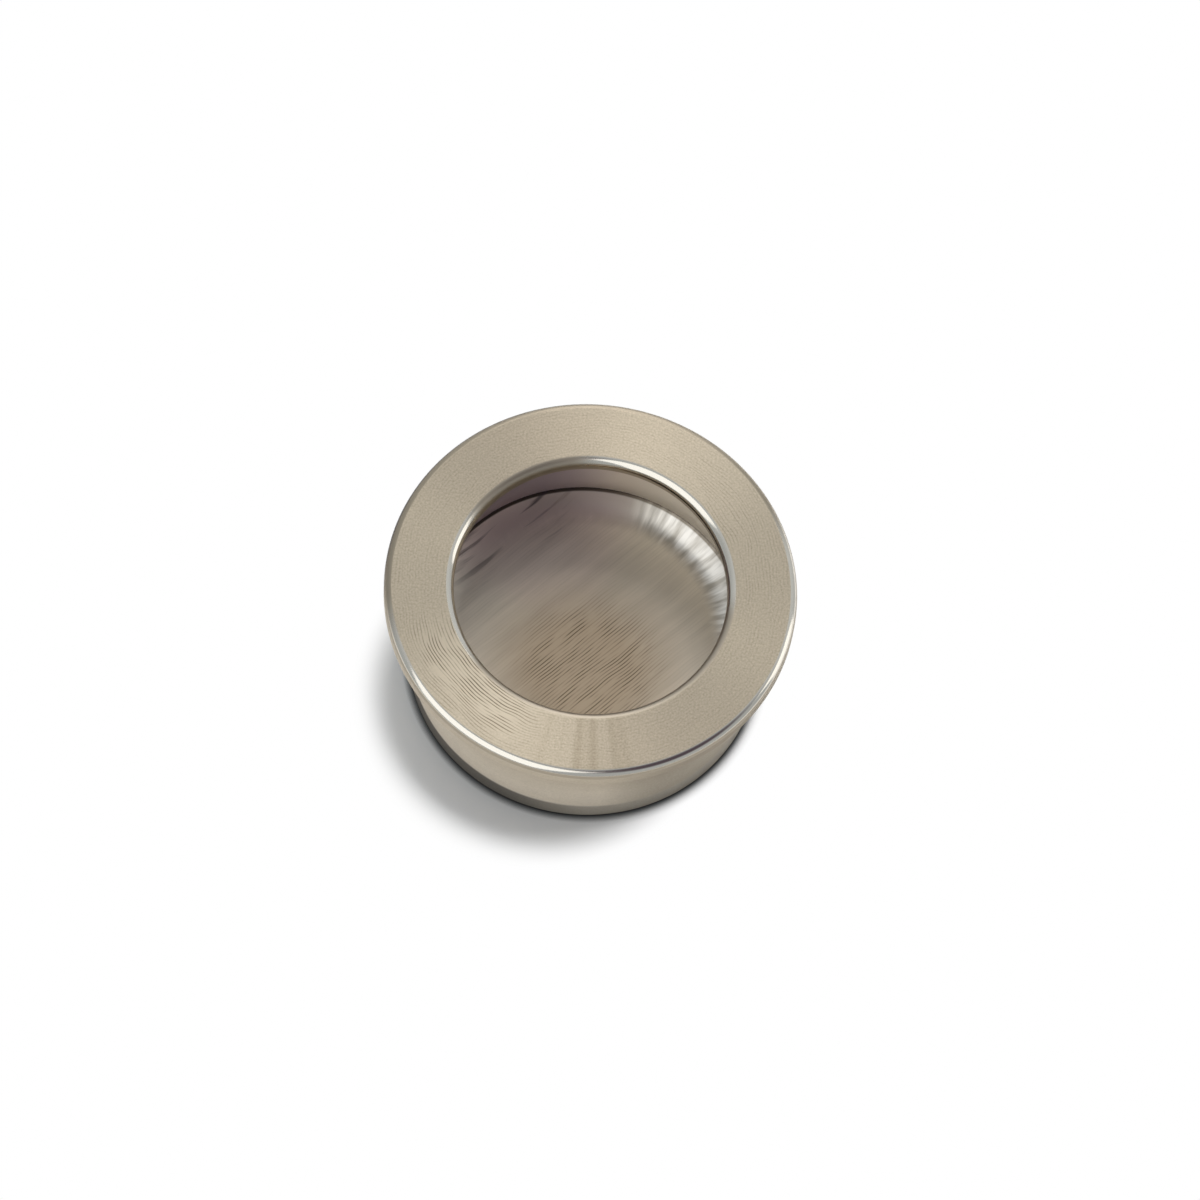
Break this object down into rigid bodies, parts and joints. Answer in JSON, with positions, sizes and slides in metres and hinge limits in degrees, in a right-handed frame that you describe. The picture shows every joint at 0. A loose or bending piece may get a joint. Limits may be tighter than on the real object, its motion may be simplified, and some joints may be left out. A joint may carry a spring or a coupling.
{
  "type": "recessed pull handle",
  "caption": "Round recessed pull handle for a door or drawer front: a wide flat rim with a rounded finger lip over a dished recess.",
  "frame": {"origin": "centre of the plane where the flange seats on the panel", "axes": "+Z along the axis of the handle, out of the panel and towards the hand"},
  "size_m": [0.04, 0.04, 0.016],
  "materials": {
    "turned_satin_nickel": "nickel plated, face brushed in circles, edges polished",
    "brushed_satin_nickel": "nickel plated, brushed in straight lines"
  },
  "bodies": {
    "root": {"flanged_sleeve": "turned_satin_nickel", "floor_dish": "brushed_satin_nickel"}
  },
  "joints": []
}
